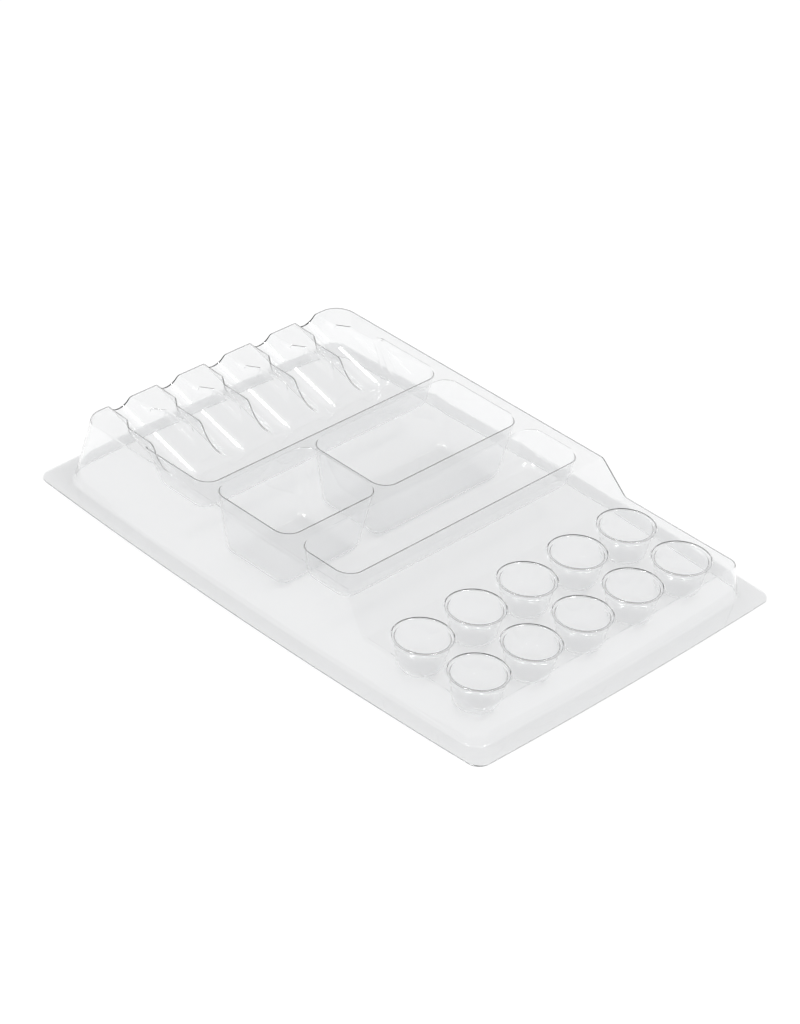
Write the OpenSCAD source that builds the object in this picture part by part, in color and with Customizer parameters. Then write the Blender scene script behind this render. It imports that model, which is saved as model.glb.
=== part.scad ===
// Parts sorting tray: one clear sheet, vacuum formed over a mould and trimmed to a flange.
// Ten paint cups on a low deck at the front, then a slope up to a high deck that holds a
// trough, two bins, a tool bay and a rest with five tool grooves. Every node is one region
// of the sheet, and neighbouring regions meet face to face.
// Widths (X) are measured from the middle, lengths (Y) from the front edge of the flange
// and heights (Z) from the underside of the flange.

/* [Sheet] */
// Thickness of the formed sheet
sheet = 0.6; // [0.5:0.1:1]
// Sideways lean of every outside wall for each millimetre of height
lean = 0.157; // [0.1:0.01:0.2]

/* [Flange] */
// Width of the flange across its corners
flange_w = 198; // [194:1:210]
// Length of the flange across its corners
flange_l = 288; // [284:1:300]
// How far the long edges bulge outwards at the middle
side_bulge = 4; // [0:0.5:5]
// How far the short edges bulge outwards at the middle
end_bulge = 1.5; // [0:0.5:3]
// Corner radius of the flange
flange_r = 6; // [3:1:10]

/* [Decks] */
// Height of the high deck
high_z = 34; // [33:1:38]
// Half of the width of the high deck
high_half_w = 84.8; // [84:0.2:86]
// Front edge of the high deck
high_front = 97.2; // [96:0.2:99]
// Rear edge of the high deck
high_rear = 275; // [273:1:277]
// Radius of the rear corners of the high deck
high_r = 11; // [8:1:14]
// Height of the low deck
low_z = 18; // [17:0.5:20]
// Front edge of the low deck
low_front = 12.3; // [12:0.1:13]
// Rear edge of the low deck, where the slope starts
low_rear = 82.9; // [82.4:0.1:84]
// Radius of the front corners of the low deck
low_r = 5.5; // [4:0.5:7]

/* [Cups] */
// Distance between cups, the same both ways
cup_pitch = 34; // [33:0.5:34]
// Middle of the front row of cups
cup_front_row = 31.7; // [31:0.1:32]
// Radius of the outside of the raised lip
lip_r = 15.2; // [14.8:0.1:16.4]
// Radius of the mouth, inside the lip
cup_r = 12.4; // [12.2:0.1:13.2]
// Height of the lip above the low deck
lip_h = 1.2; // [0.6:0.1:1.5]
// Radius of the round between the wall and the floor of a cup
cup_round = 6.5; // [3:0.5:7]
// Height of the floor of a cup
cup_z = 1.6; // [0.8:0.1:3]

/* [Trough and bins] */
// Half of the width of the trough, the bins and the tool bay together
field_half_w = 77.5; // [76:0.5:79]
// Front edge of the trough
trough_front = 104; // [103:0.5:106]
// Rear edge of the trough
trough_rear = 137; // [134:0.5:139]
// Height of the trough's floor
trough_z = 17; // [12:1:24]
// Front edge of both bins
bin_front = 143.5; // [142:0.5:145]
// Rear edge of both bins
bin_rear = 193; // [190:0.5:194]
// Height of the floors of the bins
deep_z = 1; // [0.8:0.1:2]
// Where the small bin ends and the large one starts
bin_split = -16.5; // [-20:0.5:20]
// Width of the rib of deck between the two bins
bin_rib = 2; // [1.6:0.1:4]
// Corner radius of the trough, the bins and the bay
pocket_r = 8; // [7:0.5:9]

/* [Tool rest] */
// Front edge of the tool bay
bay_front = 197; // [196:0.5:199]
// Rear edge of the tool bay at the high deck
bay_rear = 238; // [236:0.5:240]
// Where the sloping rear face of the bay meets its floor
bay_foot = 226; // [222:0.5:228]
// Height of the bay's floor
bay_z = 16; // [15:0.5:17]
// Distance between grooves
groove_pitch = 30.6; // [29:0.1:31]
// Radius of the wide front part of a groove
groove_r = 11.5; // [9:0.5:12]
// Radius of the narrow rear part of a groove
notch_r = 7; // [5:0.5:8]
// How steeply the grooves fall towards the front, in degrees
groove_tilt = 15; // [12:1:15]
// Where the wide part of a groove ends
groove_end = 255; // [254:0.5:256]
// Where the narrow part of a groove starts
notch_start = 262; // [260:0.5:264]
// Height of the wide part's axis at its end
groove_axis_z = 35.2; // [35:0.1:36]
// Height of the narrow part's axis where it starts
notch_axis_z = 33.3; // [33:0.1:34]

/* [Hidden] */
$fn = 96;
clear = [0.86, 0.88, 0.9, 0.55];
far = 400;
cups_per_row = 5;
groove_count = 5;

low_half_w = high_half_w + (high_z - low_z) * lean;
high_under = high_z - sheet;
low_under = low_z - sheet;
step_run = high_front - low_rear;
step_rise = high_z - low_z;
// Horizontal thickness of a wall that leans by run for each rise
function slant(run, rise) = sheet * sqrt(run * run + rise * rise) / rise;
// The slope's front surface at height z
function step_y(z) = low_rear + (z - low_z) * step_run / step_rise;
// The front surface of the tool rest at height z
function rest_y(z) = bay_foot + (z - bay_z) * (bay_rear - bay_foot) / (high_z - bay_z);

// Middle of groove number i, counted from the left
function groove_x(i) = (i - (groove_count + 1) / 2) * groove_pitch;

// Points of an arc about [x, y], from angle a to angle b
function arc(x, y, r, a, b, steps = 12) =
    [for (i = [0:steps]) let (t = a + (b - a) * i / steps) [x + r * cos(t), y + r * sin(t)]];

// Moves a shape drawn from the front edge of the flange to the part's own frame
module on_tray() {
    translate([0, -flange_l / 2, 0])
        children();
}

// Rectangle with rounded front and rear corners; a radius of 0 leaves them sharp
module rounded_area(x0, y0, x1, y1, r_front, r_rear) {
    polygon([
        [x0 + r_front, y0], [x1 - r_front, y0], [x1, y0 + r_front], [x1, y1 - r_rear],
        [x1 - r_rear, y1], [x0 + r_rear, y1], [x0, y1 - r_rear], [x0, y0 + r_front]
    ]);
    for (x = [x0 + r_front, x1 - r_front])
        if (r_front > 0)
            translate([x, y0 + r_front]) circle(r_front);
    for (x = [x0 + r_rear, x1 - r_rear])
        if (r_rear > 0)
            translate([x, y1 - r_rear]) circle(r_rear);
}

// Block with rounded corners whose sides lean: spread is how much further out each side is
// at the bottom than at the top, and is negative for a pocket
module leaning_block(x0, y0, x1, y1, r, z0, z1, spread) {
    translate([x0 + r, 0, 0])
        rotate([90, 0, 90])
            linear_extrude(x1 - x0 - 2 * r)
                polygon([[y0 - spread, z0], [y1 + spread, z0], [y1, z1], [y0, z1]]);
    translate([0, y1 - r, 0])
        rotate([90, 0, 0])
            linear_extrude(y1 - y0 - 2 * r)
                polygon([[x0 - spread, z0], [x1 + spread, z0], [x1, z1], [x0, z1]]);
    for (x = [x0 + r, x1 - r], y = [y0 + r, y1 - r])
        translate([x, y, z0])
            cylinder(h = z1 - z0, r1 = r + spread, r2 = r);
}

// The skirt around a deck of height z: the leaning block's outer shell, between the flange
// and the underside of the deck
module skirt_shell(x_half, y0, y1, r, z) {
    spread = (z - 2 * sheet) * lean;
    edge = sheet * lean;
    difference() {
        leaning_block(-x_half - edge, y0 - edge, x_half + edge, y1 + edge, r + edge,
                      sheet, z - sheet, spread);
        leaning_block(-x_half - edge + sheet, y0 - edge + sheet, x_half + edge - sheet,
                      y1 + edge - sheet, r + edge - sheet, sheet, z - sheet, spread);
    }
}

// Pocket with leaning walls, hanging from the underside of the high deck
module pocket(x0, y0, x1, y1, floor_z) {
    lip = sheet * lean;
    difference() {
        leaning_block(x0 + lip - sheet, y0 + lip - sheet, x1 - lip + sheet, y1 - lip + sheet,
                      pocket_r - lip + sheet, floor_z - sheet, high_under,
                      -(high_under - floor_z + sheet) * lean);
        leaning_block(x0 + lip, y0 + lip, x1 - lip, y1 - lip, pocket_r - lip,
                      floor_z, high_under, -(high_under - floor_z) * lean);
    }
}

// Flange: a rounded rectangle whose edges bulge, around the foot of the skirt
module rim_flange() {
    half_w = flange_w / 2;
    half_l = flange_l / 2;
    x = half_w - flange_r;
    y = half_l - flange_r;
    steps = 24;
    right_edge = [for (i = [1:steps - 1]) [half_w, y * (2 * i / steps - 1)]];
    rear_edge = [for (i = [1:steps - 1]) [x * (1 - 2 * i / steps), half_l]];
    outline = concat(
        arc(x, -y, flange_r, -90, 0), right_edge,
        arc(x, y, flange_r, 0, 90), rear_edge,
        arc(-x, y, flange_r, 90, 180), [for (p = right_edge) -p],
        arc(-x, -y, flange_r, 180, 270), [for (p = rear_edge) -p]
    );
    color(clear)
        linear_extrude(sheet)
            difference() {
                polygon([for (p = outline) [
                    p.x * (1 + side_bulge / half_w * (1 - pow(p.y / half_l, 2))),
                    p.y * (1 + end_bulge / half_l * (1 - pow(p.x / half_w, 2)))
                ]]);
                on_tray() skirt_hole();
            }
}

// The opening of the flange: the inner outline of the foot of the skirt
module skirt_hole() {
    foot = (high_z - sheet) * lean - sheet;
    low_foot = (low_z - sheet) * lean - sheet;
    x = high_half_w + foot;
    rounded_area(-x, low_front - low_foot, x, high_rear + foot, low_r + low_foot, high_r + foot);
}

module front_skirt() {
    color(clear)
        on_tray()
            intersection() {
                skirt_shell(low_half_w, low_front, high_rear, low_r, low_z);
                translate([-far / 2, low_front + low_r - far, 0])
                    cube([far, far, high_z]);
            }
}

// One side wall: a leaning panel whose top follows the low deck, the slope and the high deck
module side_skirt() {
    foot_x = high_half_w + (high_z - sheet) * lean;
    top_x = high_half_w + sheet * lean;
    front = low_front + low_r;
    rear = high_rear - high_r;
    color(clear)
        on_tray()
            intersection() {
                translate([0, rear, 0])
                    rotate([90, 0, 0])
                        linear_extrude(rear - front)
                            polygon([
                                [foot_x - sheet, sheet], [foot_x, sheet],
                                [top_x, high_under], [top_x - sheet, high_under]
                            ]);
                rotate([90, 0, 90])
                    linear_extrude(far)
                        polygon([
                            [front, 0], [rear, 0], [rear, high_under],
                            [step_y(high_under), high_under], [low_rear, low_z],
                            [low_rear, low_under], [front, low_under]
                        ]);
            }
}

module right_skirt() {
    side_skirt();
}

module left_skirt() {
    mirror([1, 0, 0])
        side_skirt();
}

module rear_skirt() {
    color(clear)
        on_tray()
            difference() {
                intersection() {
                    skirt_shell(high_half_w, low_front, high_rear, high_r, high_z);
                    translate([-far / 2, high_rear - high_r, 0])
                        cube([far, far, high_z]);
                }
                for (i = [1:groove_count])
                    groove_space(i, sheet);
            }
}

// Place of cup number k, counted from the front left corner, row by row
function cup_x(k) = (k % cups_per_row - (cups_per_row - 1) / 2) * cup_pitch;
function cup_y(k) = cup_front_row + floor(k / cups_per_row) * cup_pitch;

module low_deck() {
    color(clear)
        on_tray()
            translate([0, 0, low_under])
                linear_extrude(sheet)
                    difference() {
                        rounded_area(-low_half_w, low_front, low_half_w, low_rear, low_r, 0);
                        for (k = [0:2 * cups_per_row - 1])
                            translate([cup_x(k), cup_y(k)]) circle(lip_r);
                    }
}

module step_slope() {
    thick = slant(step_run, step_rise);
    inner_foot = high_half_w + (high_z - low_under) * lean - sheet;
    inner_top = high_half_w + sheet * lean - sheet;
    color(clear)
        on_tray()
            intersection() {
                translate([-far / 2, 0, 0])
                    rotate([90, 0, 90])
                        linear_extrude(far)
                            polygon([
                                [low_rear, low_under], [low_rear, low_z],
                                [step_y(high_under), high_under],
                                [step_y(high_under) + thick, high_under],
                                [step_y(low_under) + thick, low_under]
                            ]);
                translate([0, high_rear, 0])
                    rotate([90, 0, 0])
                        linear_extrude(high_rear)
                            polygon([
                                [-inner_foot, low_under], [inner_foot, low_under],
                                [inner_top, high_under], [-inner_top, high_under]
                            ]);
            }
}

module high_deck() {
    rib = bin_rib / 2;
    color(clear)
        on_tray()
            difference() {
                translate([0, 0, high_under])
                    linear_extrude(sheet)
                        difference() {
                            rounded_area(-high_half_w, step_y(high_under), high_half_w,
                                         high_rear, 0, high_r);
                            rounded_area(-field_half_w, trough_front, field_half_w,
                                         trough_rear, pocket_r, pocket_r);
                            rounded_area(-field_half_w, bin_front, bin_split - rib,
                                         bin_rear, pocket_r, pocket_r);
                            rounded_area(bin_split + rib, bin_front, field_half_w,
                                         bin_rear, pocket_r, pocket_r);
                            rounded_area(-field_half_w, bay_front, field_half_w,
                                         rest_y(high_under), pocket_r, 0);
                        }
                between_grooves(1, groove_count);
                for (i = [1, groove_count])
                    groove_space(i, sheet);
            }
}

module long_trough() {
    color(clear)
        on_tray()
            pocket(-field_half_w, trough_front, field_half_w, trough_rear, trough_z);
}

module small_bin() {
    color(clear)
        on_tray()
            pocket(-field_half_w, bin_front, bin_split - bin_rib / 2, bin_rear, deep_z);
}

module large_bin() {
    color(clear)
        on_tray()
            pocket(bin_split + bin_rib / 2, bin_front, field_half_w, bin_rear, deep_z);
}

// Everything behind the front surface of the tool rest, moved back by shift
module behind_rest(shift) {
    below = bay_z - high_z;
    translate([-far / 2, 0, 0])
        rotate([90, 0, 90])
            linear_extrude(far)
                polygon([
                    [rest_y(below) + shift, below], [far, below],
                    [far, 2 * high_z], [rest_y(2 * high_z) + shift, 2 * high_z]
                ]);
}

module tool_bay() {
    color(clear)
        on_tray()
            difference() {
                pocket(-field_half_w, bay_front, field_half_w, bay_rear + 2 * pocket_r, bay_z);
                behind_rest(0);
            }
}

// Sloping front of the tool rest, between the side walls of the bay
module rest_front() {
    half_w = field_half_w - sheet * lean + sheet;
    fall = (high_under - bay_z + sheet) * lean;
    difference() {
        intersection() {
            behind_rest(0);
            translate([0, high_rear, 0])
                rotate([90, 0, 0])
                    linear_extrude(high_rear)
                        polygon([
                            [-half_w + fall, bay_z - sheet], [half_w - fall, bay_z - sheet],
                            [half_w, high_under], [-half_w, high_under]
                        ]);
        }
        behind_rest(slant(bay_rear - bay_foot, high_z - bay_z));
    }
}

// Narrow strip of the sloping front, outside the last groove on the right
module rest_end_right() {
    color(clear)
        on_tray()
            difference() {
                intersection() {
                    rest_front();
                    translate([groove_x(groove_count), 0, 0])
                        cube([far, far, high_z]);
                }
                groove_space(groove_count, sheet);
            }
}

module rest_end_left() {
    mirror([1, 0, 0])
        rest_end_right();
}

// Block of space from the middle of groove i to the middle of groove j
module between_grooves(i, j) {
    translate([groove_x(i), bay_foot - groove_r, 0])
        cube([groove_x(j) - groove_x(i), far, 2 * high_z]);
}

// Raised rib between groove i and the next: its sloping front and its flat top
module rest_rib(i) {
    color(clear)
        on_tray()
            difference() {
                intersection() {
                    between_grooves(i, i + 1);
                    union() {
                        rest_front();
                        intersection() {
                            behind_rest(0);
                            translate([-far / 2, 0, high_under])
                                cube([far, high_rear, sheet]);
                        }
                    }
                }
                groove_space(i, sheet);
                groove_space(i + 1, sheet);
            }
}

// A round channel with straight sides above its axis, from the origin forwards by length
module channel(r, length) {
    rotate([90, 0, 0])
        cylinder(h = length, r = r);
    translate([-r, -length, 0])
        cube([2 * r, length, 2 * groove_r]);
}

// The space of groove number i, with its walls moved outwards by grow
module groove_space(i, grow) {
    x = groove_x(i);
    notch_length = high_rear - notch_start + 3 * notch_r;
    shoulder = (notch_start - groove_end) / cos(groove_tilt) + 1;
    translate([x, groove_end, groove_axis_z])
        rotate([groove_tilt, 0, 0])
            translate([0, grow, 0])
                channel(groove_r + grow, groove_end - bay_front + grow);
    translate([x, notch_start, notch_axis_z])
        rotate([groove_tilt, 0, 0]) {
            translate([0, notch_length, 0])
                channel(notch_r + grow, notch_length + shoulder);
            translate([0, -shoulder, 0])
                rotate([-90, 0, 0])
                    cylinder(h = shoulder, r1 = groove_r - 2 + grow, r2 = notch_r + grow);
        }
}

module tool_groove(i) {
    edge = high_half_w + (high_z - sheet) * lean;
    color(clear)
        on_tray()
            intersection() {
                difference() {
                    groove_space(i, sheet);
                    groove_space(i, 0);
                }
                behind_rest(0);
                leaning_block(-edge, low_front, edge, high_rear, high_r, bay_z - sheet, high_z,
                              (high_z - bay_z + sheet) * lean);
            }
}

// Cup with a raised round lip, leaning wall, rounded foot and flat floor
module cup(k) {
    foot_r = cup_r - (low_z - cup_z - cup_round) * lean;
    mid_r = (lip_r + cup_r) / 2;
    half_lip = (lip_r - cup_r) / 2;
    inside = concat(
        [for (p = arc(0, 0, 1, 0, 180)) [mid_r + half_lip * p.x, low_z + lip_h * p.y]],
        arc(foot_r - cup_round, cup_z + cup_round, cup_round, 0, -90),
        [[0, cup_z]]
    );
    outside = concat(
        [[0, cup_z - sheet]],
        arc(foot_r - cup_round, cup_z + cup_round, cup_round + sheet, -90, 0),
        [for (p = arc(0, 0, 1, 180, 0))
            [mid_r + (half_lip - sheet) * p.x, low_under + lip_h * p.y]],
        [[lip_r, low_under]]
    );
    color(clear)
        on_tray()
            translate([cup_x(k), cup_y(k), 0])
                rotate_extrude()
                    polygon(concat(inside, outside));
}

rim_flange();
front_skirt();
left_skirt();
right_skirt();
rear_skirt();
low_deck();
step_slope();
high_deck();
long_trough();
small_bin();
large_bin();
tool_bay();
rest_end_left();
rest_end_right();
rest_rib(1);  // rest_rib_1
rest_rib(2);  // rest_rib_2
rest_rib(3);  // rest_rib_3
rest_rib(4);  // rest_rib_4
tool_groove(1);  // tool_groove_1
tool_groove(2);  // tool_groove_2
tool_groove(3);  // tool_groove_3
tool_groove(4);  // tool_groove_4
tool_groove(5);  // tool_groove_5
cup(0);  // cup_01
cup(1);  // cup_02
cup(2);  // cup_03
cup(3);  // cup_04
cup(4);  // cup_05
cup(5);  // cup_06
cup(6);  // cup_07
cup(7);  // cup_08
cup(8);  // cup_09
cup(9);  // cup_10
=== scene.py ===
"""Looks of the parts sorting tray: one clear vacuum-formed sheet, built as a single closed mesh.

The sheet's upper face is a height map over the plan. Sampling lines follow every outline and
round, a Delaunay pass joins them, and the lower face is the same mesh moved inwards along the
normals. Lengths are in millimetres until the mesh is made. X is measured from the middle and
Y from the line through the flange's front corners.
"""
import math

import bmesh
import bpy
import numpy as np
from mathutils import Matrix, Vector
from mathutils.geometry import delaunay_2d_cdt


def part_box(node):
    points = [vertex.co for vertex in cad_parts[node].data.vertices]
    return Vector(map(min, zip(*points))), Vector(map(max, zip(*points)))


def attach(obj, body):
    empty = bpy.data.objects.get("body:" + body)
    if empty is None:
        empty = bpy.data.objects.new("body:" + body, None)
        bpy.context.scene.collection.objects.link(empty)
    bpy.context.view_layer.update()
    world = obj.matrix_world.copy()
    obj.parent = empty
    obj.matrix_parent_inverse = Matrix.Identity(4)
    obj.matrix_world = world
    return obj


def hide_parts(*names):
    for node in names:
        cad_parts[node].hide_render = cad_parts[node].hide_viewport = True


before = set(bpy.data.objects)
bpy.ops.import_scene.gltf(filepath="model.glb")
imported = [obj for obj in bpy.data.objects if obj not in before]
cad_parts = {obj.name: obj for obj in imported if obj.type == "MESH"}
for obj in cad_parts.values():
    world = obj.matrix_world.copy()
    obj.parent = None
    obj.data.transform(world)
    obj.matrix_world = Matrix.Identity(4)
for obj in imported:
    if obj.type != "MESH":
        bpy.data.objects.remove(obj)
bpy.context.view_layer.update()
MM = 0.001


# ---------------------------------------------------------------- sizes from the CAD frame
def edge(node, side, axis):
    """One side of a node's box in mm: side 0 is low, 1 is high; axis 0, 1, 2 is x, y, z."""
    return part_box(node)[side][axis] / MM


Y0 = -144.0                                   # the flange's corner line in the row frame
LEAN = 0.157                                  # sideways run of the outer walls per mm of height
SHEET = edge("rim_flange", 1, 2)              # thickness of the sheet
HIGH_Z = edge("high_deck", 1, 2)
LOW_Z = edge("low_deck", 1, 2)
HIGH_W = edge("high_deck", 1, 0)              # half width of the high deck
LOW_FRONT = edge("low_deck", 0, 1) - Y0
LOW_REAR = edge("low_deck", 1, 1) - Y0
STEP_LAP = 0.54                               # run of the slope over the deck's thickness
HIGH_FRONT = edge("high_deck", 0, 1) - Y0 + STEP_LAP
HIGH_REAR = edge("high_deck", 1, 1) - Y0
FIELD_W = edge("long_trough", 1, 0) - SHEET
TROUGH = (edge("long_trough", 0, 1) - Y0 + SHEET, edge("long_trough", 1, 1) - Y0 - SHEET)
TROUGH_Z = edge("long_trough", 0, 2) + SHEET
BINS = (edge("small_bin", 0, 1) - Y0 + SHEET, edge("small_bin", 1, 1) - Y0 - SHEET)
DEEP_Z = edge("small_bin", 0, 2) + SHEET
SMALL_X1 = edge("small_bin", 1, 0) - SHEET
LARGE_X0 = edge("large_bin", 0, 0) + SHEET
BAY_FRONT = edge("tool_bay", 0, 1) - Y0 + SHEET
BAY_Z = edge("tool_bay", 0, 2) + SHEET
FLANGE_W, FLANGE_L = 99.0, 144.0              # half sizes across the flange's corners
FLANGE_R = 6.0
SIDE_BULGE, END_BULGE = 4.0, 1.5              # how far the flange's sides and ends bow out
LOW_R, HIGH_R = 5.5, 11.0                     # plan radii of the front and rear corners
REAR_KEEP = 0.5                               # how much slower the rear corners' radius grows
REAR_KEEP_END = 8.0                           # run of the wall after which it grows normally
SKIRT_TOP_R, SKIRT_FOOT_R = 1.0, 1.2          # rounds at the deck and at the flange
STEP_TOP_R, STEP_FOOT_R = 2.2, 3.0            # rounds at the ends of the slope
POCKET_R = 8.0                                # plan radius of every pocket's corners
POCKET_KEEP = 0.55                            # how fast that radius shrinks down the walls
REST_TOP, REST_FOOT = 238.0, 226.0            # the rest's front face at the deck and at the floor
GROOVE_X = [30.6 * i for i in (-2, -1, 0, 1, 2)]       # middles of the five grooves
GROOVE_R, NOTCH_R = 11.5, 7.0                 # radii of a groove's wide part and of its notch
TILT = math.radians(15)                       # both rise to the rear at this angle
GROOVE_END, NOTCH_START = 255.0, 262.0
GROOVE_AXIS, NOTCH_AXIS = 35.2, 33.3          # heights of their axes at those two places
TAPER_END = NOTCH_START - 1.2                 # where a groove's taper reaches the notch's width
GROOVE_FLARE = 0.05                           # lean of a groove's sides above its axis
FACE_BLEND, GROOVE_BLEND, BAY_BLEND = 1.8, 1.1, 1.4   # widths of the rest's rounded edges
REST_START = 215.0                            # from here to the rear the rest's field is used
CUPS = [(edge(n, 0, 0) + edge(n, 1, 0), edge(n, 0, 1) + edge(n, 1, 1)) for n in
        ("cup_%02d" % k for k in range(1, 11))]
CUPS = [(x / 2, y / 2 - Y0) for x, y in CUPS]
CUP_R, LIP_R = 12.4, 15.2                     # radii of the mouth and of the lip's outside
LIP_H, CUP_Z = 1.2, 1.6                       # lip's height over the deck, and the floor's level
CUP_TOP_R, CUP_FOOT_R = 1.3, 6.5              # rounds inside the lip and at the floor
LIP_FLAT = 13.9                               # radius at which the lip starts to fall
LIP_END = LIP_R + 0.15                        # radius at which it has met the deck
LIP_CREST = CUP_R + LIP_H * LEAN + CUP_TOP_R * 0.9     # radius at which the inner round ends
SHEET_T = 0.55                                # thickness of the formed walls
BISECTIONS = 34                               # halvings in every search for a surface
BAY_LENGTH = 160.0                            # only has to reach under the rest
RIM_REACH = 2.0                               # a pocket's rim round ends within this distance
FLANGE_REACH = 6.0                            # the flange ends within this distance of the skirt

# Sampling rows as (first y, end, step): fine over rounds, coarse over flats.
SLOPE_ROWS = (80.0, 101.0, 0.4)
REST_ROWS = ((223.0, 229.0, 0.35), (229.0, 237.0, 0.5), (237.0, 240.0, 0.25), (240.0, 254.0, 1.0),
             (254.0, 264.0, 0.35), (264.0, 273.6, 1.2), (273.6, 276.6, 0.14), (276.6, 279.3, 0.6))
NOTCH_ROW = 270.0                             # a row at which the columns follow the notches
FACE_ROW = 230.0                              # a row at which they follow the wide grooves
SIDE_ROWS_END = 243.0                         # rows before this also follow the bay's side walls
EDGE_RING = 0.35                              # a second ring of points lies this far inside the edge
FINE_R, FINE_N, COARSE_N = 11.0, 72, 48       # points per ring of a cup, beyond FINE_R and within it
SLOPE_MARGIN = 1.8                            # lines across the slope stop this far from its sides

# Light and surfaces.
LAMP_TINT = (0.898, 0.9, 0.902, 1)            # what the sheet lets through to light other things
GLASS_TINT = (0.98, 0.982, 0.984, 1)
GLASS_ROUGHNESS, GLASS_IOR = 0.05, 1.5
FLOOR_GREY, FLOOR_ROUGHNESS = 0.9, 0.9
FLOOR_SIZE, FLOOR_DROP = 6.0, 0.0002          # metres. The drop keeps it clear of the flange
WORLD_STRENGTH = 0.6

# Camera: angles in degrees, the point it looks at in mm, distance in metres, lens in mm.
AZIMUTH, ELEVATION, ROLL = -48.64, 34.087, 5.548
TARGET_X, TARGET_Y = 15.6, 157.2
DISTANCE = 1.6113
LENS, SENSOR = 119.8, 36
SHIFT_X, SHIFT_Y = -0.004131, 0.000391        # shares of the picture's longer side


# ---------------------------------------------------------------- profiles
def corner_profile(d, top, foot, k, r_top, r_foot):
    """Height at distance d past a deck edge: deck, round, wall of lean k, round, floor."""
    th = np.arctan2(1.0, k)
    t1, t2 = r_top * np.tan(th / 2), r_foot * np.tan(th / 2)
    dc = (top - foot) * k
    z = top - d / k
    a = d + t1
    z = np.where(d < t1 * np.cos(th), top - r_top + np.sqrt(np.maximum(r_top**2 - a**2, 0)), z)
    z = np.where(d < -t1, top, z)
    b = d - dc - t2
    z = np.where(d > dc - t2 * np.cos(th),
                 foot + r_foot - np.sqrt(np.maximum(r_foot**2 - b**2, 0)), z)
    return np.where(d > dc + t2, foot, z)


def profile_offsets(height, k, r_top, r_foot, n_top=7, n_foot=9, n_wall=3):
    """Distances at which a corner profile is sampled, with rounds in equal angles."""
    th = math.atan2(1.0, k)
    t1, t2 = r_top * math.tan(th / 2), r_foot * math.tan(th / 2)
    dc = height * k
    top = [-t1 + r_top * math.sin(th * i / n_top) for i in range(n_top + 1)]
    foot = [dc + t2 - r_foot * math.sin(th * (1 - i / n_foot)) for i in range(n_foot + 1)]
    wall = [top[-1] + (foot[0] - top[-1]) * i / n_wall for i in range(1, n_wall)]
    return top + wall + foot


def smooth_max(a, b, k):
    """The larger of a and b, with the crease between them rounded over a width k."""
    h = np.maximum(k - np.abs(a - b), 0) / k
    return np.maximum(a, b) + h * h * k / 4


def smooth_min(a, b, k):
    return -smooth_max(-a, -b, k)


def arc(cx, cy, r, start, n):
    """Points of a quarter circle about (cx, cy), in n steps from the start angle in degrees."""
    angles = [math.radians(start + 90 * i / n) for i in range(n + 1)]
    return [(cx + r * math.cos(t), cy + r * math.sin(t)) for t in angles]


def slopes(height_map, x, y, e):
    """Slopes of a height map along x and y, measured over e to each side."""
    gx = (height_map(x + e, y) - height_map(x - e, y)) / (2 * e)
    gy = (height_map(x, y + e) - height_map(x, y - e)) / (2 * e)
    return gx, gy


# ---------------------------------------------------------------- decks and skirt
STEP_K = (HIGH_FRONT - LOW_REAR) / (HIGH_Z - LOW_Z)


def deck_height(y):
    """Height of the deck along the tray: low deck, slope with rounded ends, high deck."""
    return corner_profile(HIGH_FRONT - y, HIGH_Z, LOW_Z, STEP_K, STEP_TOP_R, STEP_FOOT_R)


def half_width(z):
    """Half of the width between the outer side walls at height z."""
    return HIGH_W + (HIGH_Z - z) * LEAN


def bulge_side(y):
    """Share of the side's bulge at y: 1 at the middle of the tray, 0 at its ends."""
    return np.maximum(1 - ((y - FLANGE_L) / FLANGE_L) ** 2, 0)


def bulge_end(x):
    """Share of the ends' bulge at x."""
    return np.maximum(1 - (x / FLANGE_W) ** 2, 0)


def rear_base_r(d):
    """Radius at the deck of the rear corner whose outline, grown by d, is the skirt's there."""
    return HIGH_R - REAR_KEEP * np.clip(d, 0, REAR_KEEP_END)


def outline_distance(qx, qy, r):
    """Distance from a corner's outline, from the distances past its two straight sides."""
    ax, ay = qx + r, qy + r
    return np.hypot(np.maximum(ax, 0), np.maximum(ay, 0)) + np.minimum(np.maximum(ax, ay), 0) - r


def wall_lean(side_share, x, y, top, end_top):
    """Lean of the skirt, with the bulge at its foot. side_share is 1 at the sides, 0 at the ends."""
    side = SIDE_BULGE * bulge_side(y) / (top - SHEET)
    end = END_BULGE * bulge_end(x) / (end_top - SHEET)
    return LEAN + side_share * side + (1 - side_share) * end


def skirt_distance(x, y, passes=14, damping=0.7):
    """Distance outside the deck's outline, the skirt's lean there and the deck's height there.

    The rear corners' radius depends on the distance, so both are found together in damped passes.
    """
    top = deck_height(y)
    front = y < FLANGE_L
    qx = np.abs(x) - half_width(top)
    qy = np.where(front, LOW_FRONT - y, y - HIGH_REAR)
    d = outline_distance(qx, qy, np.where(front, LOW_R, HIGH_R))
    for _ in range(passes):
        r = np.where(front, LOW_R, rear_base_r(d))
        d = outline_distance(qx, qy, r) * damping + d * (1 - damping)
    ax, ay = qx + r, qy + r
    share = np.where(ay > 0, ax**2 / (ax**2 + ay**2 + 1e-9), 1.0)
    share = np.where(ax > 0, share, 0.0)
    share = np.where((ax <= 0) & (ay <= 0), (ax > ay) * 1.0, share)
    return d, wall_lean(share, x, y, top, np.where(front, LOW_Z, HIGH_Z)), top


def shell_height(x, y):
    """Height of the decks, the skirt and the flange, before pockets are sunk in."""
    d, k, top = skirt_distance(x, y)
    return corner_profile(d, top, SHEET, k, SKIRT_TOP_R, SKIRT_FOOT_R)


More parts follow.
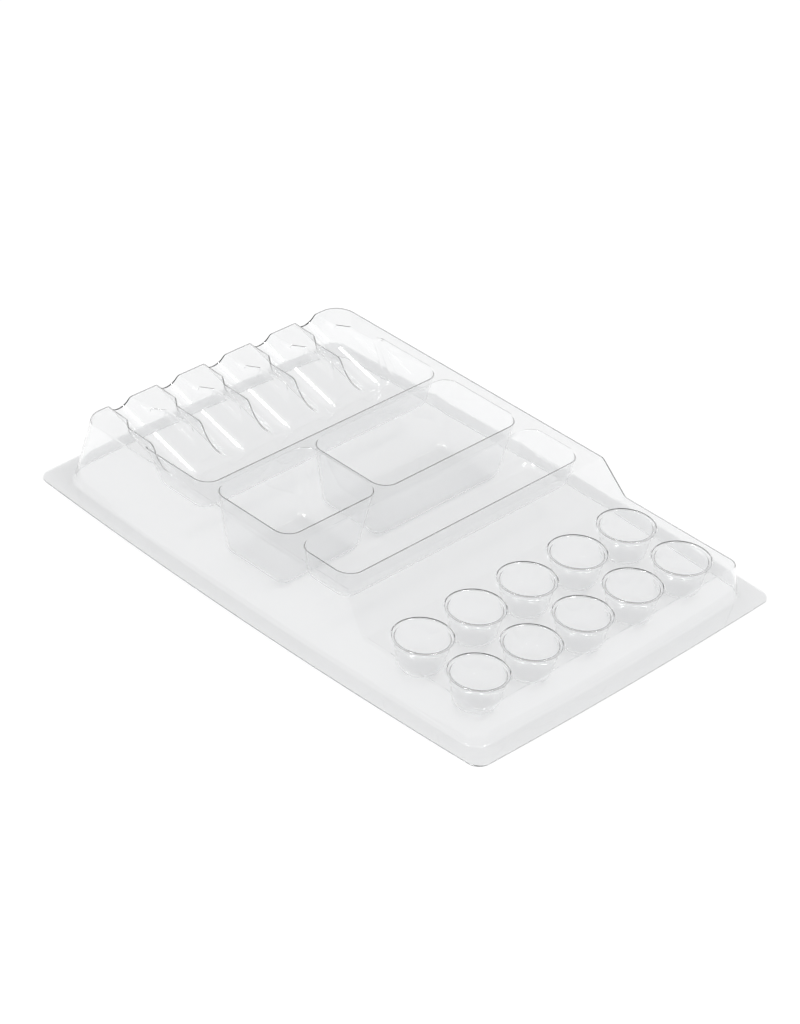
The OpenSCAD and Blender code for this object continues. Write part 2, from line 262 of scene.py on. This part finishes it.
# ---------------------------------------------------------------- pockets
class Pocket:
    """A pocket with leaning walls whose plan corners stay round all the way down."""

    def __init__(self, x0, y0, x1, y1, floor, r_top, r_foot):
        self.cx, self.cy = (x0 + x1) / 2, (y0 + y1) / 2
        self.hx, self.hy = (x1 - x0) / 2, (y1 - y0) / 2
        self.floor = floor
        self.r_top, self.r_foot = r_top, r_foot
        self.offsets = profile_offsets(HIGH_Z - floor, LEAN, r_top, r_foot)

    @staticmethod
    def radius(d):
        """Radius of the plan corners of the outline inset by d."""
        return POCKET_R - POCKET_KEEP * d

    def distance(self, x, y):
        """Distance inside the rim, found by bisection on the family of inset outlines."""
        px, py = np.abs(x - self.cx), np.abs(y - self.cy)
        # The search starts outside the rim and ends before an outline or its corners vanish.
        lo, hi = np.full_like(px, -4.0), np.full_like(px, min(self.hx, self.hy) - 0.5)
        hi = np.minimum(hi, (POCKET_R - 0.3) / POCKET_KEEP)
        for _ in range(BISECTIONS):
            d = (lo + hi) / 2
            r = self.radius(d)
            out = outline_distance(px - (self.hx - d), py - (self.hy - d), r)
            lo, hi = np.where(out <= 0, d, lo), np.where(out <= 0, hi, d)
        return (lo + hi) / 2

    def height(self, x, y):
        """Height of the pocket's wall and floor."""
        d = self.distance(x, y)
        return corner_profile(d, HIGH_Z, self.floor, LEAN, self.r_top, self.r_foot)

    def ring(self, d, n_corner=12, step=7.0):
        """Outline inset by d, as points in order."""
        hx, hy, r = self.hx - d, self.hy - d, self.radius(d)
        nx = max(2, int(round(2 * (self.hx - POCKET_R) / step)))
        ny = max(2, int(round(2 * (self.hy - POCKET_R) / step)))
        run_x, run_y = 2 * (hx - r) / nx, 2 * (hy - r) / ny
        corners = ((1, -1, -90, 0, run_y, ny), (1, 1, 0, -run_x, 0, nx),
                   (-1, 1, 90, 0, -run_y, ny), (-1, -1, 180, run_x, 0, nx))
        pts = []
        for sx, sy, start, dx, dy, count in corners:
            pts += arc(sx * (hx - r), sy * (hy - r), r, start, n_corner)
            x, y = pts[-1]
            pts += [(x + dx * i, y + dy * i) for i in range(1, count)]
        return [(self.cx + x, self.cy + y) for x, y in pts]


trough = Pocket(-FIELD_W, TROUGH[0], FIELD_W, TROUGH[1], TROUGH_Z, 1.0, 6.0)
small_bin = Pocket(-FIELD_W, BINS[0], SMALL_X1, BINS[1], DEEP_Z, 0.9, 4.5)
large_bin = Pocket(LARGE_X0, BINS[0], FIELD_W, BINS[1], DEEP_Z, 0.9, 4.5)
bay = Pocket(-FIELD_W, BAY_FRONT, FIELD_W, BAY_FRONT + BAY_LENGTH, BAY_Z, 1.0, 4.5)
pockets = [trough, small_bin, large_bin]


# ---------------------------------------------------------------- cups
def cup_profile(r):
    """Height of the sheet along a cup's radius, from its floor to the outside of its lip."""
    lip = LOW_Z + LIP_H
    rim = CUP_R + LIP_H * LEAN
    inside = corner_profile(rim - r, lip, CUP_Z, LEAN, CUP_TOP_R, CUP_FOOT_R)
    t = np.clip((r - LIP_FLAT) / (LIP_END - LIP_FLAT), 0, 1)
    outside = LOW_Z + LIP_H * (0.5 + 0.5 * np.cos(math.pi * t))
    return np.where(r < LIP_CREST, inside, outside)


def cup_radii():
    """Radii at which a cup is sampled, from its middle outwards."""
    rim = CUP_R + LIP_H * LEAN
    offsets = profile_offsets(LOW_Z + LIP_H - CUP_Z, LEAN, CUP_TOP_R, CUP_FOOT_R, 8, 12)
    inner = [rim - d for d in offsets]
    outer = [LIP_CREST, (LIP_CREST + LIP_FLAT) / 2]
    outer += [LIP_FLAT + (LIP_END - LIP_FLAT) * i / 9 for i in range(0, 10)]
    return sorted(set(round(v, 5) for v in inner + outer if v > 0.5))


# ---------------------------------------------------------------- tool rest
def neck_share(y):
    """0 along the wide part of a groove, 1 along its notch."""
    return np.clip((y - GROOVE_END) / (TAPER_END - GROOVE_END), 0, 1)


def rest_field(x, y, z, shell, bay_floor):
    """Signed field of the tool rest and its bay: below 0 is under the sheet's upper face.

    shell and bay_floor each hold the height and the steepness of a height map at these places.
    """
    face_run = (REST_TOP - REST_FOOT) / (HIGH_Z - BAY_Z)
    face = (z - BAY_Z - (y - REST_FOOT) / face_run) * face_run / math.hypot(1, face_run)
    block = smooth_max((z - shell[0]) / shell[1], face, FACE_BLEND)
    s = neck_share(y)
    w = GROOVE_R + (NOTCH_R - GROOVE_R) * s
    front_axis = GROOVE_AXIS - (GROOVE_END - y) * math.tan(TILT)
    rear_axis = NOTCH_AXIS + (y - NOTCH_START) * math.tan(TILT)
    axis = front_axis + (rear_axis - front_axis) * s
    dx = np.min([np.abs(x - g) for g in GROOVE_X], axis=0)
    up = (z - axis) * math.cos(TILT)
    groove = np.where(up > 0, dx - w - up * GROOVE_FLARE, np.hypot(dx, up) - w)
    land = smooth_max(block, -groove, GROOVE_BLEND)
    return smooth_min(land, (z - bay_floor[0]) / bay_floor[1], BAY_BLEND)


def steepness(height_map, x, y):
    """Length of the gradient of z - height_map(x, y)."""
    gx, gy = slopes(height_map, x, y, 0.05)
    return np.sqrt(1 + gx**2 + gy**2)


def rest_height(x, y):
    """Height of the sheet over the tool rest and the rear of the bay."""
    shell = shell_height(x, y), steepness(shell_height, x, y)
    bay_floor = bay.height(x, y), steepness(bay.height, x, y)
    # The search spans a little more than the tray's height.
    lo, hi = np.full_like(x, -2.0), np.full_like(x, HIGH_Z + 3)
    for _ in range(BISECTIONS):
        z = (lo + hi) / 2
        below = rest_field(x, y, z, shell, bay_floor) <= 0
        lo, hi = np.where(below, z, lo), np.where(below, hi, z)
    return np.minimum((lo + hi) / 2, shell[0])


# ---------------------------------------------------------------- the whole upper face
def height(x, y):
    """Height of the sheet's upper face."""
    x, y = np.asarray(x, float), np.asarray(y, float)
    z = shell_height(x, y)
    for p in pockets:
        near = (np.abs(x - p.cx) < p.hx + RIM_REACH) & (np.abs(y - p.cy) < p.hy + RIM_REACH)
        z[near] += p.height(x[near], y[near]) - HIGH_Z
    near = (np.abs(x) < FIELD_W + RIM_REACH) & (y > BAY_FRONT - RIM_REACH) & (y <= REST_START)
    z[near] += bay.height(x[near], y[near]) - HIGH_Z
    for cx, cy in CUPS:
        r = np.hypot(x - cx, y - cy)
        near = r < LIP_END + 0.2
        z[near] = cup_profile(r[near])
    near = (y > REST_START) & (np.abs(x) < half_width(0) + FLANGE_REACH)
    z[near] = rest_height(x[near], y[near])
    return z


# ---------------------------------------------------------------- sampling lines
points, lines = [], []


def add_line(pts, closed=True):
    """Adds points and the edges between them, which the triangles have to keep."""
    start = len(points)
    points.extend(pts)
    n = len(pts)
    lines.extend((start + i, start + (i + 1) % n) for i in range(n if closed else n - 1))


def flange_outline(inset=0.0):
    """The trimmed outline moved inwards by inset, with the bulge of its sides and ends."""
    w, l, r = FLANGE_W - inset, FLANGE_L - inset, FLANGE_R - inset
    ys = np.linspace(-(l - r), l - r, 49)
    xs = np.linspace(-(w - r), w - r, 33)
    corners = ((1, -1, -90, [(w, y) for y in ys[1:-1]]), (1, 1, 0, [(x, l) for x in xs[-2:0:-1]]),
               (-1, 1, 90, [(-w, y) for y in ys[-2:0:-1]]), (-1, -1, 180, [(x, -l) for x in xs[1:-1]]))
    out = []
    for sx, sy, start, straight in corners:
        for x, y in arc(sx * (w - r), sy * (l - r), r, start, 10) + straight:
            fx = 1 + SIDE_BULGE / FLANGE_W * (1 - (y / FLANGE_L) ** 2)
            fy = 1 + END_BULGE / FLANGE_L * (1 - (x / FLANGE_W) ** 2)
            out.append((x * fx, y * fy + FLANGE_L))
    return out


def groove_columns():
    """Places across half a groove that follow its section, as shares of its half width."""
    inner = [math.sin(math.radians(a)) for a in range(0, 88, 6)]
    return inner + [0.995, 1.0, 1.012, 1.024, 1.036, 1.05, 1.07, 1.1, 1.14, 1.19]


def rest_columns(y):
    """X of every grid column at y. The columns narrow with the grooves."""
    w = GROOVE_R + (NOTCH_R - GROOVE_R) * float(neck_share(y))
    pitch = GROOVE_X[1] - GROOVE_X[0]
    cols = []
    for g in GROOVE_X:
        side = [w * c for c in groove_columns()]
        cols += [g - c for c in side[:0:-1]] + [g + c for c in side]
        if g != GROOVE_X[-1]:
            cols.append(g + pitch / 2)
    return cols


def rest_rows():
    """Y of every grid row over the rest."""
    return [y for start, stop, step in REST_ROWS for y in np.arange(start, stop, step)]


def deck_outline():
    """The decks' outline as (x, y, outward x, outward y).

    On the straight sides x is None, because it depends on the deck's height there.
    """
    side_gap, rear_gap = 0.2, 0.3             # points closer than this to the last are left out
    low_x, high_x = half_width(LOW_Z) - LOW_R, HIGH_W - HIGH_R
    low_y, high_y = LOW_FRONT + LOW_R, HIGH_REAR - HIGH_R
    side = sorted(list(np.arange(low_y, high_y, 4.0)) + list(np.arange(*SLOPE_ROWS)))
    side = [v for i, v in enumerate(side) if i == 0 or v - side[i - 1] > side_gap]
    rear = [x for x in rest_columns(NOTCH_ROW) if abs(x) < high_x - rear_gap]
    out = [(low_x + LOW_R * nx, low_y + LOW_R * ny, nx, ny) for nx, ny in arc(0, 0, 1, -90, 12)]
    out += [(None, y, 1, 0) for y in side[1:]]
    out += [(high_x + HIGH_R * nx, high_y + HIGH_R * ny, nx, ny) for nx, ny in arc(0, 0, 1, 0, 16)]
    mirrored = [(None if x is None else -x, y, -nx, ny) for x, y, nx, ny in reversed(out)]
    out += [(x, HIGH_REAR, 0, 1) for x in reversed(rear)]
    out += mirrored
    out += [(x, LOW_FRONT, 0, -1) for x in np.linspace(-low_x, low_x, 40)[1:-1]]
    return out


def skirt_rings():
    """Closed rings that follow the skirt from the deck's edge to the flange."""
    th = math.atan2(1.0, LEAN)
    t1, t2 = SKIRT_TOP_R * math.tan(th / 2), SKIRT_FOOT_R * math.tan(th / 2)
    tops = [(0.0, -t1 + SKIRT_TOP_R * math.sin(th * i / 7)) for i in range(8)]
    walls = [(share, 0.0) for share in (0.12, 0.3, 0.5, 0.7, 0.88)]
    feet = [(1.0, t2 - SKIRT_FOOT_R * math.sin(th * (1 - i / 6))) for i in range(7)]
    base = deck_outline()
    for share, extra in tops + walls + feet:
        ring = []
        for x, y, nx, ny in base:
            top = float(deck_height(y))
            bx = nx * half_width(top) if x is None else x
            d = share * (top - SHEET) * float(wall_lean(nx * nx, bx, y, top, top)) + extra
            tighter = HIGH_R - rear_base_r(d) if y > HIGH_REAR - HIGH_R and nx and ny else 0.0
            ring.append((bx + nx * (d - tighter) + math.copysign(tighter, nx),
                         y + ny * (d - tighter) + tighter))
        add_line(ring)


def bay_rings():
    """Open lines along the bay's sides and front. They meet the grid of the rest."""
    corner_end, side_start = 8.2, 9.0         # past the bay's front
    ys = np.linspace(BAY_FRONT + side_start, rest_rows()[0], 5)
    for d in bay.offsets:
        left = [(bay.cx - bay.hx + d, y) for y in ys[::-1]]
        right = [(bay.cx + bay.hx - d, y) for y in ys]
        front = [p for p in bay.ring(d) if p[1] < BAY_FRONT + corner_end]
        front.sort(key=lambda p: math.atan2(p[0] / bay.hx,
                                            -(p[1] - BAY_FRONT - side_start) / side_start))
        add_line(left + front + right, closed=False)


def rest_grid():
    """Rows of points over the rest, and over the bay's side walls beside it."""
    overlap = 2.2                             # of the side walls' lines and the columns
    limit = max(rest_columns(FACE_ROW)) - overlap
    side = [FIELD_W - d for d in bay.offsets if FIELD_W - d > limit]
    side += [-x for x in side]
    for y in rest_rows():
        cols = rest_columns(y) + (side if y < SIDE_ROWS_END else [])
        points.extend((x, y) for x in cols)


def build_points():
    """Fills points and lines with every sampling line of the sheet."""
    add_line(flange_outline())
    add_line(flange_outline(EDGE_RING))
    skirt_rings()
    for p in pockets:
        for d in p.offsets:
            add_line(p.ring(d))
    bay_rings()
    for cx, cy in CUPS:
        for r in cup_radii():
            n = FINE_N if r > FINE_R else COARSE_N
            turn = [2 * math.pi * i / n for i in range(n)]
            add_line([(cx + r * math.cos(t), cy + r * math.sin(t)) for t in turn])
        points.append((cx, cy))
    rest_grid()
    for d in profile_offsets(HIGH_Z - LOW_Z, STEP_K, STEP_TOP_R, STEP_FOOT_R, 5, 6, 2):
        y = HIGH_FRONT - d
        w = half_width(float(deck_height(y))) - SLOPE_MARGIN
        add_line([(x, y) for x in np.linspace(-w, w, 30)], closed=False)


def build_sheet():
    """The upper face: its points, their normals and its triangles."""
    build_points()
    verts, _, faces, _, _, _ = delaunay_2d_cdt([Vector(p) for p in points], lines, [], 1, 1e-4)
    xy = np.array([(v[0], v[1]) for v in verts], float)
    x, y = xy[:, 0], xy[:, 1]
    gx, gy = slopes(height, x, y, 0.02)
    n = np.stack([-gx, -gy, np.ones_like(gx)], 1)
    n /= np.linalg.norm(n, axis=1)[:, None]
    tri = np.array([f for f in faces if len(f) == 3], int)
    return np.column_stack([xy, height(x, y)]), n, tri


def close_sheet(top, n, tri):
    """Adds the lower face and the trimmed edge, and returns vertices, faces and normals."""
    low = top - n * SHEET_T
    edges = {}
    for f in tri:
        for a, b in ((f[0], f[1]), (f[1], f[2]), (f[2], f[0])):
            edges[(a, b)] = edges.get((a, b), 0) + 1
    rim = [(a, b) for a, b in edges if (b, a) not in edges]
    m = len(top)
    v = np.vstack([top, low])
    f = [tuple(t) for t in tri] + [(t[2] + m, t[1] + m, t[0] + m) for t in tri]
    f += [(a, a + m, b + m) for a, b in rim] + [(a, b + m, b) for a, b in rim]
    return v, f, np.vstack([n, -n])


def formed_sheet():
    """The closed mesh as an object that rides the row's one body."""
    v, f, normals = close_sheet(*build_sheet())
    v[:, 1] += Y0
    mesh = bpy.data.meshes.new("formed_sheet")
    mesh.from_pydata((v * MM).tolist(), [], f)
    mesh.validate()
    mesh.update()
    mesh.polygons.foreach_set("use_smooth", [True] * len(mesh.polygons))
    mesh.normals_split_custom_set_from_vertices([tuple(x) for x in normals])
    sheet = bpy.data.objects.new("formed_sheet", mesh)
    bpy.context.scene.collection.objects.link(sheet)
    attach(sheet, "root")
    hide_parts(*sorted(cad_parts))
    return sheet


# ---------------------------------------------------------------- materials
def clear_plastic():
    """Clear plastic that bends what is seen through it.

    Lamp light and bounced light pass it unbent, so the floor below it is lit evenly.
    """
    m = bpy.data.materials.new("clear_sheet")
    m.use_nodes = True
    t = m.node_tree
    t.nodes.clear()
    out = t.nodes.new("ShaderNodeOutputMaterial")
    mix = t.nodes.new("ShaderNodeMixShader")
    clear = t.nodes.new("ShaderNodeBsdfTransparent")
    glass = t.nodes.new("ShaderNodeBsdfPrincipled")
    path = t.nodes.new("ShaderNodeLightPath")
    clear.inputs["Color"].default_value = LAMP_TINT
    glass.inputs["Base Color"].default_value = GLASS_TINT
    glass.inputs["Roughness"].default_value = GLASS_ROUGHNESS
    glass.inputs["IOR"].default_value = GLASS_IOR
    glass.inputs["Transmission Weight"].default_value = 1.0
    unbent = t.nodes.new("ShaderNodeMath")
    unbent.operation = "MAXIMUM"
    t.links.new(path.outputs["Is Shadow Ray"], unbent.inputs[0])
    t.links.new(path.outputs["Is Diffuse Ray"], unbent.inputs[1])
    t.links.new(unbent.outputs[0], mix.inputs[0])
    t.links.new(glass.outputs[0], mix.inputs[1])
    t.links.new(clear.outputs[0], mix.inputs[2])
    t.links.new(mix.outputs[0], out.inputs["Surface"])
    return m


def floor_material():
    """Plain matt white."""
    m = bpy.data.materials.new("floor_white")
    m.use_nodes = True
    b = m.node_tree.nodes["Principled BSDF"]
    b.inputs["Base Color"].default_value = (FLOOR_GREY, FLOOR_GREY, FLOOR_GREY, 1)
    b.inputs["Roughness"].default_value = FLOOR_ROUGHNESS
    return m


sheet = formed_sheet()
sheet.data.materials.append(clear_plastic())

# ---------------------------------------------------------------- floor
floor_mesh = bpy.data.meshes.new("floor")
bm = bmesh.new()
bmesh.ops.create_grid(bm, x_segments=2, y_segments=2, size=FLOOR_SIZE)
bm.to_mesh(floor_mesh)
bm.free()
floor = bpy.data.objects.new("floor", floor_mesh)
floor.location.z = -FLOOR_DROP
bpy.context.scene.collection.objects.link(floor)
floor.data.materials.append(floor_material())

# ---------------------------------------------------------------- light
world = bpy.data.worlds.new("studio")
bpy.context.scene.world = world
world.use_nodes = True
bg = world.node_tree.nodes["Background"]
bg.inputs["Color"].default_value = (1, 1, 1, 1)
bg.inputs["Strength"].default_value = WORLD_STRENGTH


def softbox(name, direction, distance, size, power):
    """A round soft light that looks at the tray's middle. Sizes are in metres, power in watts."""
    data = bpy.data.lights.new(name, "AREA")
    data.shape = "DISK"
    data.size = size
    data.energy = power
    light = bpy.data.objects.new(name, data)
    d = Vector(direction).normalized()
    light.location = d * distance
    light.rotation_euler = d.to_track_quat("Z", "Y").to_euler()
    bpy.context.scene.collection.objects.link(light)


softbox("softbox_right", (0.24, -0.30, 0.92), 3.0, 0.62, 22)
softbox("softbox_left", (-0.16, 0.18, 0.97), 3.0, 0.62, 24)
softbox("ceiling", (0.0, 0.0, 1.0), 3.2, 3.6, 14)

# ---------------------------------------------------------------- camera
az, el, roll = math.radians(AZIMUTH), math.radians(ELEVATION), math.radians(ROLL)
back = Vector((math.sin(az) * math.cos(el), -math.cos(az) * math.cos(el), math.sin(el)))
right = Vector((0, 0, 1)).cross(back).normalized()
up = back.cross(right)
cam_x = right * math.cos(roll) + up * math.sin(roll)
cam_y = up * math.cos(roll) - right * math.sin(roll)
target = Vector((TARGET_X * MM, (TARGET_Y + Y0) * MM, 0))
position = target + back * DISTANCE
cam_data = bpy.data.cameras.new("camera")
cam_data.lens = LENS
cam_data.sensor_width = SENSOR
cam_data.clip_end = 50
cam_data.shift_x = SHIFT_X
cam_data.shift_y = SHIFT_Y
cam = bpy.data.objects.new("camera", cam_data)
cam.matrix_world = Matrix((
    (cam_x.x, cam_y.x, back.x, position.x),
    (cam_x.y, cam_y.y, back.y, position.y),
    (cam_x.z, cam_y.z, back.z, position.z),
    (0, 0, 0, 1)))
bpy.context.scene.collection.objects.link(cam)
bpy.context.scene.camera = cam

bpy.context.scene.view_settings.view_transform = "Standard"
cycles = bpy.context.scene.cycles
cycles.max_bounces = 24
cycles.caustics_refractive = False
cycles.caustics_reflective = False
cycles.transmission_bounces = 24
cycles.glossy_bounces = 8
cycles.transparent_max_bounces = 32
